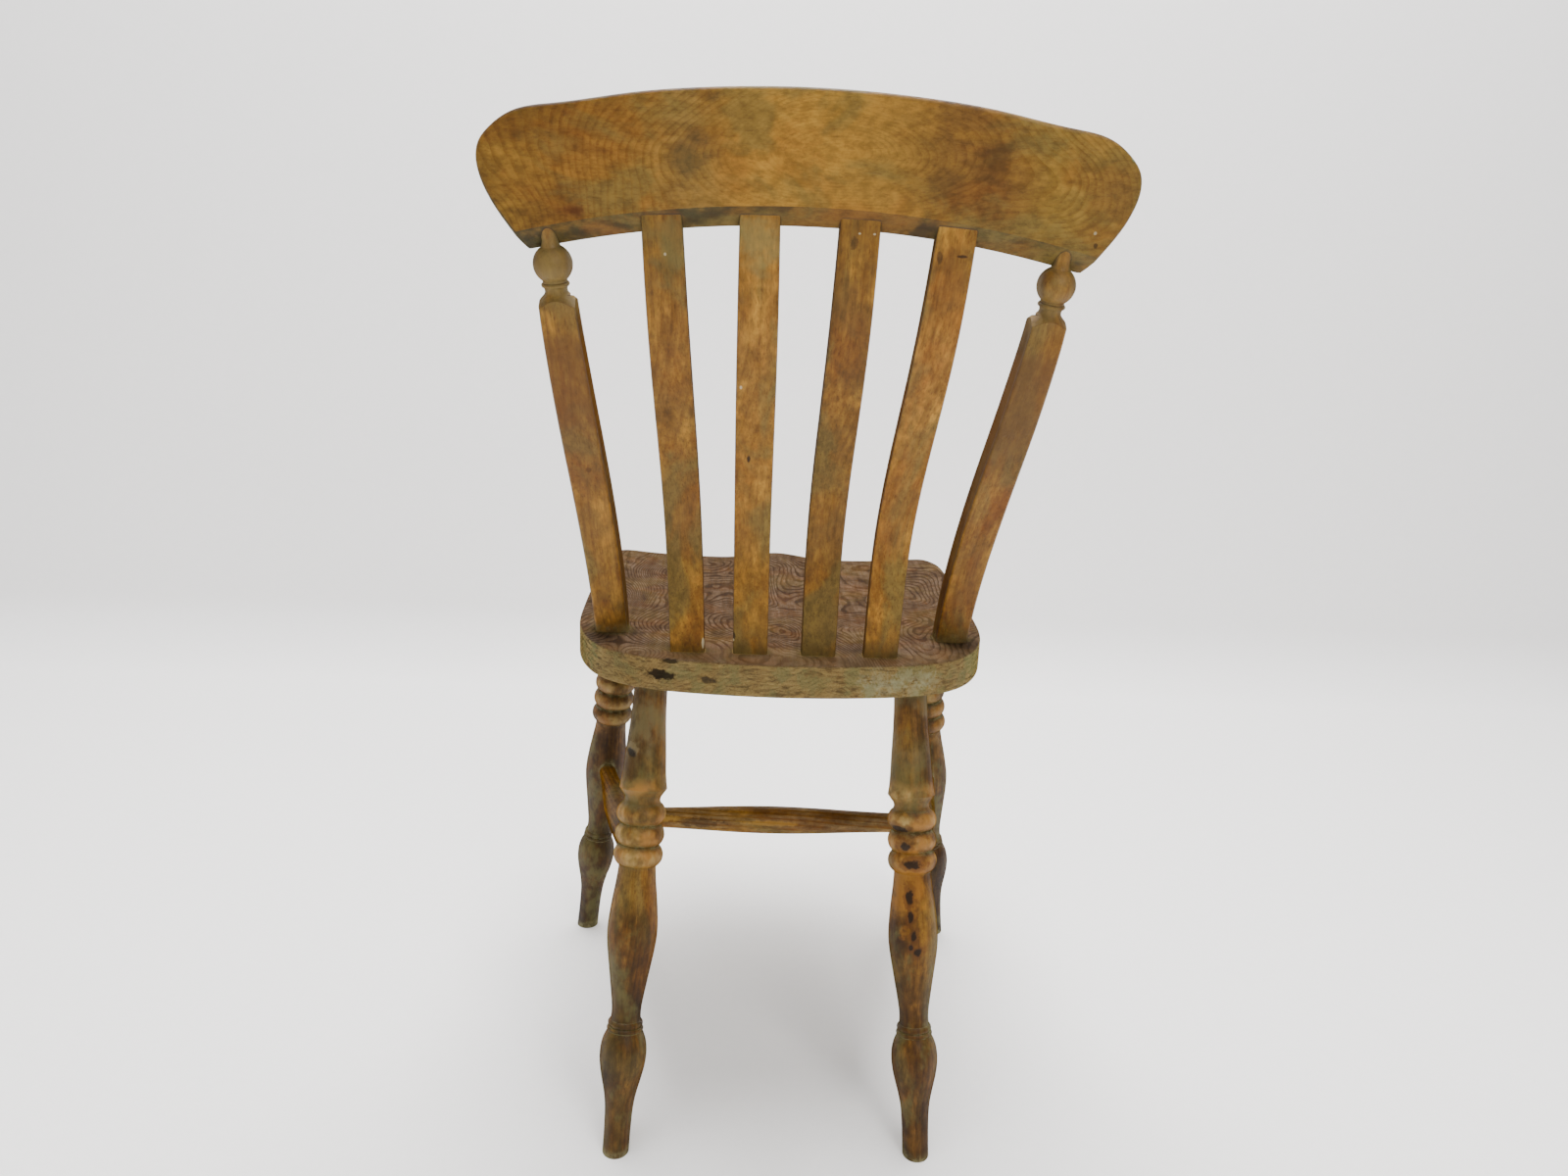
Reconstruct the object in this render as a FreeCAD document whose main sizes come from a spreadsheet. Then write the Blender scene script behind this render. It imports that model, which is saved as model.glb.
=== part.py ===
import FreeCAD, Part
import math
import os

# Lath-back Windsor kitchen chair, in millimetres.
# +Z is up, the sitter faces -Y, and the sitter's left hand is on +X.
# The origin is on the floor, under the middle of the chair.

os.makedirs("parts", exist_ok=True)

BIG = 400.0          # half the reach of the tools that saw, level and carve
BELOW_FLOOR = 12.0   # how far a leg is turned past the floor before it is levelled
OVERLAP = 4.0        # how far joined solids run into each other
LONG_EDGE = 200.0    # edges longer than this run along a lath or a post
RIM_EDGE = 500.0     # edges longer than this run round the seat or over the crest

SIZES = {
    # seat plank
    "seat_top": 440, "seat_thickness": 30, "seat_front": -240, "seat_back": 155,
    "seat_half_width": 189, "seat_round": 3,
    "hollow_depth": 9, "hollow_half_width": 174, "hollow_back": 98, "hollow_run": 158,
    "ridge_height": 7, "ridge_spread": 36, "ridge_start": -20, "ridge_run": 220,
    # legs: where each axis meets the floor and the seat underside
    "rear_foot_x": 134, "rear_foot_y": 211, "rear_top_x": 115, "rear_top_y": 101, "rear_collar": 115,
    "front_foot_x": 205, "front_foot_y": -155, "front_top_x": 161, "front_top_y": -139, "front_collar": 125,
    "leg_foot_radius": 11.5, "leg_foot_vase": 20.6, "leg_collar_radius": 15.2, "leg_waist": 12.9,
    "leg_vase": 22.1, "leg_neck": 16.4, "leg_ring": 21.8, "leg_shoulder": 21.2, "leg_top_radius": 14.8,
    "leg_tenon_radius": 12.5, "leg_tenon_length": 20,
    # stretchers
    "side_rear_height": 240, "side_front_height": 206, "side_end_radius": 9, "side_mid_radius": 14,
    "cross_y": 11, "cross_end_radius": 9.5, "cross_mid_radius": 13.5, "stretcher_bite": 8,
    # laths
    "lath_thickness": 12, "lath_base_width": 29, "lath_mid_width": 31, "lath_top_width": 28.5,
    "lath_tenon": 18, "lath_edge": 1.5,
    "inner_base_x": 29, "inner_top_x": 35.5, "inner_top_height": 804,
    "outer_base_x": 82, "outer_top_x": 104.5, "outer_top_height": 800,
    # back posts
    "post_depth": 24, "post_base_width": 28.5, "post_mid_width": 30.5, "post_top_width": 26,
    "post_base_x": 153, "post_top_x": 179.5, "post_shoulder": 732, "post_edge": 2.5,
    "post_tenon_radius": 9, "post_tenon_length": 18, "post_lean": 12,
    "ball_radius": 14.2, "ball_height": 26.4, "neck_radius": 5.8, "neck_length": 30,
    # crest rail
    "crest_thickness": 22, "crest_top": 879.5, "crest_top_radius": 940, "crest_under": 791,
    "crest_under_radius": 840, "crest_half_length": 232, "crest_widest_height": 829,
    "crest_plan_radius": 2300, "crest_rear": 229.5, "crest_lean": 8, "crest_round": 3,
    "crest_bevel_height": 12.5, "crest_bevel_depth": 9,
}

doc = FreeCAD.newDocument("lath_back_chair")
sheet = doc.addObject("Spreadsheet::Sheet", "Sizes")
for row, (alias, value) in enumerate(SIZES.items(), start=1):
    sheet.set(f"A{row}", alias)
    sheet.set(f"B{row}", str(value))
    sheet.setAlias(f"B{row}", alias)
doc.recompute()


def size(alias):
    """The number held in the sheet under this alias."""
    return float(sheet.get(alias))


def vec(x, y, z=0.0):
    return FreeCAD.Vector(x, y, z)


# ---------------------------------------------------------------- helpers

def new_body(name):
    body = doc.addObject("PartDesign::Body", name)
    body.Label = name
    return body


def new_sketch(body, name, plane):
    """A sketch lying on one of the body's own origin planes."""
    sketch = body.newObject("Sketcher::SketchObject", name)
    base = [item for item in body.Origin.OriginFeatures if item.Role == plane][0]
    sketch.AttachmentSupport = [(base, "")]
    sketch.MapMode = "FlatFace"
    return sketch


def line(a, b):
    return Part.LineSegment(vec(*a), vec(*b))


def arc(a, middle, b):
    return Part.Arc(vec(*a), vec(*middle), vec(*b))


def smooth(points):
    curve = Part.BSplineCurve()
    curve.interpolate([vec(*point) for point in points])
    return curve


def pad(body, sketch, name, alias=None, length=2 * BIG, both_ways=True):
    feature = body.newObject("PartDesign::Pad", name)
    feature.Profile = sketch
    feature.Length = length
    if alias:
        feature.setExpression("Length", f"Sizes.{alias}")
    if both_ways:
        feature.SideType = "Symmetric"
    return feature


def turned(name, curves):
    """A lathe-turned piece: the curves are radius and height, closed along the axis."""
    body = new_body(name)
    sketch = new_sketch(body, name + "_profile", "XZ_Plane")
    foot = curves[0].StartPoint
    head = curves[-1].EndPoint
    outline = [line((0, foot.y), (foot.x, foot.y))] + curves
    outline += [line((head.x, head.y), (0, head.y)), line((0, head.y), (0, foot.y))]
    for curve in outline:
        sketch.addGeometry(curve, False)
    spin = body.newObject("PartDesign::Revolution", name + "_turning")
    spin.Profile = sketch
    spin.ReferenceAxis = (sketch, ["V_Axis"])
    spin.Angle = 360
    return body


def aim(body, foot, direction):
    """Stand a turned piece on a point, with its axis along a direction."""
    body.Placement = FreeCAD.Placement(foot, FreeCAD.Rotation(vec(0, 0, 1), direction))


def boolean(kind, name, base, tool):
    result = doc.addObject("Part::" + kind, name)
    result.Label = name
    result.Base = base
    result.Tool = tool
    return result


def together(name, pieces):
    group = doc.addObject("Part::Compound", name)
    group.Links = pieces
    return group


def rounded(name, base, radius, chosen):
    """Round the edges of base for which chosen(edge) is true."""
    doc.recompute()
    result = doc.addObject("Part::Fillet", name)
    result.Label = name
    result.Base = base
    picks = []
    for number, edge in enumerate(base.Shape.Edges, start=1):
        if chosen(edge):
            picks.append((number, radius, radius))
    result.Edges = picks
    return result


# ---------------------------------------------------------------- seat

def seat_blank():
    """The plank, sawn to a D shape."""
    half = size("seat_half_width")
    front = size("seat_front")
    back = size("seat_back")
    right = [
        (0.43 * half, front + 1), (0.75 * half, front + 4.5), (0.9 * half, front + 13),
        (half - 5.5, front + 32), (half - 1, front + 62), (half, -0.4 * back),
        (half - 1, 0.05 * back), (half - 4.5, back - 100), (half - 12, back - 71),
        (half - 24, back - 47), (half - 42, back - 28), (half - 68, back - 15), (0.37 * half, back - 4.5),
    ]
    left = [(-x, y) for x, y in reversed(right)]
    outline = Part.BSplineCurve()
    outline.interpolate([vec(*point) for point in [(0, front)] + right + [(0, back)] + left], True)
    body = new_body("seat_blank")
    sketch = new_sketch(body, "seat_outline", "XY_Plane")
    sketch.addGeometry(outline, False)
    pad(body, sketch, "seat_plank", "seat_thickness", both_ways=False)
    body.setExpression("Placement.Base.z", "Sizes.seat_top - Sizes.seat_thickness")
    return body


def saddle_height(x, y):
    """Height of the hollowed surface: a broad dish, with a ridge that rises towards the front."""
    across = (abs(x) / size("hollow_half_width")) ** 4
    start = size("hollow_back") - size("hollow_run")
    along = max(0.0, (y - start) / size("hollow_run")) ** 2
    rise = min(1.0, max(0.0, (size("ridge_start") - y) / size("ridge_run"))) ** 1.5
    ridge = size("ridge_height") * rise * math.exp(-(x / size("ridge_spread")) ** 2)
    return size("seat_top") - size("hollow_depth") * (1 - across - along) + ridge


def seat_hollow():
    """Everything above the saddled surface, to be carved away."""
    spacing = 21
    rows = []
    for x in range(-10 * spacing, 11 * spacing, spacing):
        rows.append([vec(x, y, saddle_height(x, y)) for y in range(-275, 186, 20)])
    surface = Part.BSplineSurface()
    surface.interpolate(rows)
    tool = doc.addObject("Part::Feature", "seat_hollow")
    tool.Shape = surface.toShape().extrude(vec(0, 0, 60))
    return tool


# ---------------------------------------------------------------- legs

def leg_curves(collar, length):
    """Radius and height of the turning, from below the floor to the end of the tenon."""
    foot = size("leg_foot_radius")
    ball = size("leg_foot_vase")
    waist = size("leg_waist")
    vase = size("leg_vase")
    neck = size("leg_neck")
    ring = size("leg_ring")
    shoulder = size("leg_shoulder")
    bead = size("leg_collar_radius")
    top = size("leg_top_radius")
    tenon = size("leg_tenon_radius")
    valley = ring - 4.4
    curves = [smooth([
        (foot, -BELOW_FLOOR), (foot + 0.1, collar - 108), (foot + 0.5, collar - 84),
        (foot + 1.6, collar - 70), (foot + 3.9, collar - 58), (ball - 1.9, collar - 44),
        (ball, collar - 28), (ball - 2.4, collar - 13), (bead, collar - 7)])]
    curves.append(arc((bead, collar - 7), (bead + 0.9, collar - 5), (bead - 0.8, collar - 3)))
    curves.append(arc((bead - 0.8, collar - 3), (bead + 0.2, collar - 0.2), (waist + 0.5, collar + 2.5)))
    curves.append(smooth([
        (waist + 0.5, collar + 2.5), (waist, collar + 8), (waist + 1.2, collar + 22),
        (waist + 3.5, collar + 37), (vase - 3.5, collar + 51), (vase - 1.2, collar + 66),
        (vase, collar + 82), (vase - 0.8, collar + 96), (vase - 2.6, collar + 112),
        (neck + 1.1, collar + 127), (neck, collar + 140)]))
    low = collar + 140
    start = neck
    for number in range(3):
        high = low + 18.6
        end = valley if number < 2 else valley - 0.6
        curves.append(arc((start, low), (ring, low + 9.3), (end, high)))
        low = high
        start = end
    curves.append(arc((start, low), (start - 0.9, low + 3.5), (start + 0.4, low + 7)))
    curves.append(line((start + 0.4, low + 7), (shoulder, low + 13)))
    curves.append(smooth([
        (shoulder, low + 13), (shoulder - 1.2, low + 20), (top + 3.4, low + 41),
        (top + 1.4, low + 66), (top, length)]))
    curves.append(line((top, length), (top, length + OVERLAP)))
    curves.append(line((top, length + OVERLAP), (tenon, length + OVERLAP)))
    curves.append(line((tenon, length + OVERLAP), (tenon, length + size("leg_tenon_length"))))
    return curves


def leg_ends(end, side):
    """Foot and top of a leg axis: on the floor, and on the underside of the seat."""
    under = size("seat_top") - size("seat_thickness")
    foot = vec(side * size(end + "_foot_x"), size(end + "_foot_y"), 0)
    top = vec(side * size(end + "_top_x"), size(end + "_top_y"), under)
    return foot, top


def turned_leg(end, side_name, side):
    foot, top = leg_ends(end, side)
    axis = top - foot
    body = turned(f"{end}_{side_name}_turning", leg_curves(size(end + "_collar"), axis.Length))
    aim(body, foot, axis)
    return body


def floor_block():
    """The waste under the floor line, where the feet are levelled."""
    block = doc.addObject("Part::Box", "floor_block")
    block.Length = 2 * BIG
    block.Width = 2 * BIG
    block.Height = BIG
    block.Placement.Base = vec(-BIG, -BIG, -BIG)
    return block


# ---------------------------------------------------------------- stretchers

def swelled(name, start, end, end_radius, mid_radius, bite):
    """A stretcher between two points, thickest in the middle, straight where it enters a socket."""
    axis = end - start
    full = axis.Length
    points = []
    for step in range(13):
        share = step / 12
        swell = math.sin(math.pi * share) ** 2
        points.append((end_radius + (mid_radius - end_radius) * swell, bite + share * (full - 2 * bite)))
    curves = [line((end_radius, 0), points[0]), smooth(points), line(points[-1], (end_radius, full))]
    body = turned(name, curves)
    aim(body, start, axis)
    return body


def along_leg(end, side, height):
    foot, top = leg_ends(end, side)
    return foot + (top - foot) * (height / top.z)


def side_ends(side):
    """Where a side stretcher's axis crosses the two leg axes."""
    rear = along_leg("rear", side, size("side_rear_height"))
    front = along_leg("front", side, size("side_front_height"))
    return rear, front


def side_stretcher(side_name, side):
    rear, front = side_ends(side)
    way = (front - rear).normalize() * (size("stretcher_bite") - size("side_end_radius"))
    return swelled(f"{side_name}_side_turning", rear - way, front + way,
                   size("side_end_radius"), size("side_mid_radius"), 2 * size("stretcher_bite"))


def cross_stretcher():
    rear, front = side_ends(1)
    share = (rear.y - size("cross_y")) / (rear.y - front.y)
    left = rear + (front - rear) * share
    right = vec(-left.x, left.y, left.z)
    return swelled("cross_stretcher", right, left,
                   size("cross_end_radius"), size("cross_mid_radius"), 2 * size("stretcher_bite"))


# ---------------------------------------------------------------- laths and posts

LATH_BEND = [(122, 422), (122, 440), (114.5, 480), (108.5, 525), (125, 587),
             (162, 651), (201, 723), (219, 792), (221, 806)]
POST_BEND = [(68.5, 440), (76.5, 490), (98.5, 543), (131, 600), (165.5, 655), (187, 694), (203, 732), (205.5, 744)]


def bent_band(name, centre_line, thickness):
    """Side view of a bent piece, pushed right across the chair; the bend is a smooth curve."""
    body = new_body(name)
    sketch = new_sketch(body, name + "_side", "YZ_Plane")
    curve = smooth(centre_line)
    samples = 14
    sides = []
    for way in (0.5 * thickness, -0.5 * thickness):
        points = []
        for step in range(samples + 1):
            share = step / samples
            place = curve.FirstParameter + share * (curve.LastParameter - curve.FirstParameter)
            point = curve.value(place)
            tangent = curve.tangent(place)[0]
            points.append((point.x + way * tangent.y, point.y - way * tangent.x))
        sides.append(points)
    rear, front = sides
    edges = [smooth(rear), line(rear[-1], front[-1]), smooth(front), line(front[0], rear[0])]
    for edge in edges:
        sketch.addGeometry(edge, False)
    pad(body, sketch, name + "_slab")
    return body


def tapered_outline(name, low, high, base_x, top_x, widths):
    """Rear view of a lath or post, leaning outwards, with gently bowed edges."""
    body = new_body(name)
    sketch = new_sketch(body, name + "_rear", "XZ_Plane")
    middle = 0.5 * (low + high)
    stations = [(base_x, low, widths[0]), (0.5 * (base_x + top_x), middle, widths[1]), (top_x, high, widths[2])]
    left = [(x - 0.5 * width, z) for x, z, width in stations]
    right = [(x + 0.5 * width, z) for x, z, width in stations]
    for edge in (line(left[0], right[0]), arc(*right), line(right[2], left[2]), arc(*left)):
        sketch.addGeometry(edge, False)
    pad(body, sketch, name + "_cut")
    return body


def lath(name, bend, base_x, top_x, top):
    low = size("seat_top") - size("lath_tenon")
    widths = [size("lath_base_width"), size("lath_mid_width"), size("lath_top_width")]
    outline = tapered_outline(name + "_outline", low, top, base_x, top_x, widths)
    sawn = boolean("Common", name + "_sawn", bend, outline)
    return rounded(name, sawn, size("lath_edge"), lambda edge: edge.Length > LONG_EDGE)


def post_head_curves():
    """The turned head of a post: cove, ring, ball and neck, measured up from the shoulder."""
    ball = size("ball_radius")
    centre = size("ball_height")
    neck = size("neck_radius")
    waist = 8.9
    ball_foot = centre - math.sqrt(ball ** 2 - waist ** 2)
    ball_head = centre + math.sqrt(ball ** 2 - (neck + 1.4) ** 2)
    return [
        line((9.8, -2 * OVERLAP), (9.8, 4.6)),
        arc((9.8, 4.6), (8.2, 7.4), (waist, 10.4)),
        arc((waist, 10.4), (10.2, 12.0), (waist, 13.6)),
        line((waist, 13.6), (waist, ball_foot)),
        arc((waist, ball_foot), (ball, centre), (neck + 1.4, ball_head)),
        smooth([(neck + 1.4, ball_head), (neck + 0.3, ball_head + 3), (neck, ball_head + 7)]),
        line((neck, ball_head + 7), (neck, centre + size("neck_length"))),
    ]


def pommel_curves():
    """Where the lathe ran out of the square: everything below this cone is left alone."""
    return [line((BIG, -BIG), (BIG, -5.5)), line((BIG, -5.5), (20, -5.5)), line((20, -5.5), (9.8, 4.6))]


def back_post(side_name, side, bend):
    """One upright: bent flat stock, with a round tenon below and a turned head above."""
    name = "back_post_" + side_name
    shoulder = size("post_shoulder")
    seat_top = size("seat_top")
    widths = [size("post_base_width"), size("post_mid_width"), size("post_top_width")]
    outline = tapered_outline(name + "_outline", seat_top, shoulder + OVERLAP, side * size("post_base_x"),
                              side * size("post_top_x"), widths)
    sawn = boolean("Common", name + "_sawn", bend, outline)
    flat = rounded(name + "_flat", sawn, size("post_edge"), lambda edge: edge.Length > LONG_EDGE)

    fan = (size("post_top_x") - size("post_base_x")) / (shoulder - seat_top)
    lean = math.tan(math.radians(size("post_lean")))
    head_foot = vec(side * size("post_top_x"), POST_BEND[-2][0], shoulder)
    head = turned(name + "_head", post_head_curves())
    pommel = turned(name + "_pommel", pommel_curves())
    for piece in (head, pommel):
        aim(piece, head_foot, vec(side * fan, lean, 1))
    shaft = boolean("Common", name + "_shaft", flat, pommel)

    tenon = doc.addObject("Part::Cylinder", name + "_tenon")
    tenon.setExpression("Radius", "Sizes.post_tenon_radius")
    tenon.setExpression("Height", f"Sizes.post_tenon_length + {OVERLAP}")
    tenon.setExpression("Placement.Base.z", "Sizes.seat_top - Sizes.post_tenon_length")
    tenon.Placement.Base = vec(side * size("post_base_x"), POST_BEND[0][0], 0)
    whole = doc.addObject("Part::MultiFuse", name)
    whole.Shapes = [shaft, head, tenon]
    whole.Refine = True
    return whole


# ---------------------------------------------------------------- crest rail

def crest_blank():
    """The crest rail before it is bevelled: bent in plan, leaned back and sawn to its outline."""
    thickness = size("crest_thickness")
    plan = size("crest_plan_radius")
    half = size("crest_half_length")
    top = size("crest_top")
    under = size("crest_under")
    widest = size("crest_widest_height")
    lean = math.radians(size("crest_lean"))

    band = new_body("crest_band")
    sketch = new_sketch(band, "crest_plan", "XY_Plane")
    reach = half + 20
    deep = top - under + 60
    outer_drop = plan - math.sqrt(plan ** 2 - reach ** 2)
    rear = [(-reach, -outer_drop), (0, 0), (reach, -outer_drop)]
    front = [(x, y - thickness) for x, y in rear]
    for edge in (arc(*rear), line(rear[2], front[2]), arc(*front), line(front[0], rear[0])):
        sketch.addGeometry(edge, False)
    push = pad(band, sketch, "crest_bending", length=deep, both_ways=False)
    push.UseCustomVector = True
    push.Direction = vec(0, math.sin(lean), math.cos(lean))
    low = under - 30
    band.Placement.Base = vec(0, size("crest_rear") - (under - low) * math.tan(lean), low)

    right = []
    for share in (0.28, 0.55, 0.76, 0.89):
        x = share * half
        right.append((x, top - x ** 2 / (2 * size("crest_top_radius"))))
    corner_x = half - 33.5
    corner_z = under - corner_x ** 2 / (2 * size("crest_under_radius"))
    right += [
        (half - 9.5, widest + 17), (half - 2, widest + 7.5), (half, widest - 1),
        (half - 2.5, widest - 16), (half - 10.5, widest - 32.5), (half - 22, widest - 48.5),
        (half - 28.5, widest - 56.5), (corner_x, corner_z),
    ]
    left = [(-x, z) for x, z in reversed(right)]
    shape = new_body("crest_outline")
    drawing = new_sketch(shape, "crest_rear_view", "XZ_Plane")
    drawing.addGeometry(smooth(left + [(0, top)] + right), False)
    drawing.addGeometry(arc((-corner_x, corner_z), (0, under), (corner_x, corner_z)), False)
    pad(shape, drawing, "crest_sawing")
    return boolean("Common", "crest_sawn", band, shape)


def is_crest_top(edge):
    """True for the long edges that run over the top of the crest and down its two ends."""
    return edge.Length > RIM_EDGE


def crest_bevel(base):
    """The long bevel along the lower rear edge."""
    doc.recompute()
    bevel = doc.addObject("Part::Chamfer", "crest_bevelled")
    bevel.Base = base
    picks = []
    for number, edge in enumerate(base.Shape.Edges, start=1):
        middle = edge.valueAt(0.5 * (edge.FirstParameter + edge.LastParameter))
        lower_edge = LONG_EDGE < edge.Length < RIM_EDGE and middle.z < size("crest_widest_height")
        if lower_edge and middle.y > size("crest_rear") - 5:
            picks.append((number, size("crest_bevel_height"), size("crest_bevel_depth")))
    bevel.Edges = picks
    return bevel


# ---------------------------------------------------------------- assembly

hollow = seat_hollow()
floor = floor_block()
lath_bend = bent_band("lath_bend", LATH_BEND, size("lath_thickness"))
post_bend = bent_band("post_bend", POST_BEND, size("post_depth"))

stretchers = {}
for side_name, side in (("left", 1), ("right", -1)):
    stretchers[side_name] = side_stretcher(side_name, side)
cross = cross_stretcher()

nodes = []
leg_turnings = []
for end in ("front", "rear"):
    for side_name, side in (("left", 1), ("right", -1)):
        turning = turned_leg(end, side_name, side)
        leg_turnings.append(turning)
        waste = together(f"{end}_{side_name}_waste", [floor, stretchers[side_name]])
        nodes.append(boolean("Cut", f"leg_{end}_{side_name}", turning, waste))

for side_name in ("left", "right"):
    nodes.append(boolean("Cut", "side_stretcher_" + side_name, stretchers[side_name], cross))
nodes.append(cross)

laths = []
for place in ("outer", "inner"):
    for side_name, side in (("left", 1), ("right", -1)):
        piece = lath(f"lath_{place}_{side_name}", lath_bend, side * size(place + "_base_x"),
                     side * size(place + "_top_x"), size(place + "_top_height"))
        laths.append(piece)
        nodes.append(piece)

crest_solid = crest_bevel(crest_blank())
posts = []
for side_name, side in (("left", 1), ("right", -1)):
    posts.append(back_post(side_name, side, post_bend))
nodes += posts

crest_softened = rounded("crest_softened", crest_solid, size("crest_round"), is_crest_top)
crest_mortises = together("crest_mortises", laths + posts)
nodes.append(boolean("Cut", "crest_rail", crest_softened, crest_mortises))

seat_sockets = together("seat_sockets", leg_turnings + laths + posts)
seat_edged = rounded("seat_edged", seat_blank(), size("seat_round"), lambda edge: edge.Length > RIM_EDGE)
seat_dished = boolean("Cut", "seat_dished", seat_edged, hollow)
nodes.append(boolean("Cut", "seat", seat_dished, seat_sockets))

doc.recompute()
for item in doc.Objects:
    for state in item.State:
        if state in ("Invalid", "Error"):
            raise RuntimeError(f"{item.Label} is {state}")
for node in nodes:
    shape = node.Shape
    if shape.isNull() or not shape.isValid():
        raise RuntimeError(f"{node.Label} has no valid shape")
    box = shape.BoundBox
    print(f"{node.Label:22s} solids {len(shape.Solids)} volume {shape.Volume / 1000:8.1f} cm3  "
          f"x {box.XMin:7.1f} {box.XMax:7.1f}  y {box.YMin:7.1f} {box.YMax:7.1f}  z {box.ZMin:6.1f} {box.ZMax:6.1f}")
for node in nodes:
    node.Shape.exportStep(f"parts/{node.Label}.step")
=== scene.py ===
import math
from dataclasses import dataclass
from functools import partial

import bpy
import numpy as np
from mathutils import Matrix, Vector


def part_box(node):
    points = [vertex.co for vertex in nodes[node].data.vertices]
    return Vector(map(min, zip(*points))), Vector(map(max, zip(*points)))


# An old lath-back kitchen chair in waxed beech and elm, seen from behind.
# +Z is up, the sitter faces -Y, and the sitter's left hand is on +X. Metres.

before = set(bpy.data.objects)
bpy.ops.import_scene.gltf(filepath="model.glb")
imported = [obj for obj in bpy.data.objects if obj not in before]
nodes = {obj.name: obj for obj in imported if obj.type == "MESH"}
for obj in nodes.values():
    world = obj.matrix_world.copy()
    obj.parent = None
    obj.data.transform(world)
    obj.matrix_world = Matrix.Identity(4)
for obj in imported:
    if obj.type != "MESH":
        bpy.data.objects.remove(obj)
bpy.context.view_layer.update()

SIDES = ("left", "right")


# ---------------------------------------------------------------- mesh finish

SHARP_ANGLE = math.radians(32)
WELD_REACH = 0.00002


def soften(piece, edge):
    """Worn arrises: weld the CAD facets together, then round every sharp edge a little."""
    for polygon in piece.data.polygons:
        polygon.use_smooth = True
    weld = piece.modifiers.new("weld", "WELD")
    weld.merge_threshold = WELD_REACH
    bevel = piece.modifiers.new("worn_edges", "BEVEL")
    bevel.width = edge
    bevel.segments = 3
    bevel.limit_method = "ANGLE"
    bevel.angle_limit = SHARP_ANGLE
    bevel.harden_normals = False
    normals = piece.modifiers.new("even_normals", "WEIGHTED_NORMAL")
    normals.keep_sharp = False


# ---------------------------------------------------------------- node helpers

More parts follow.
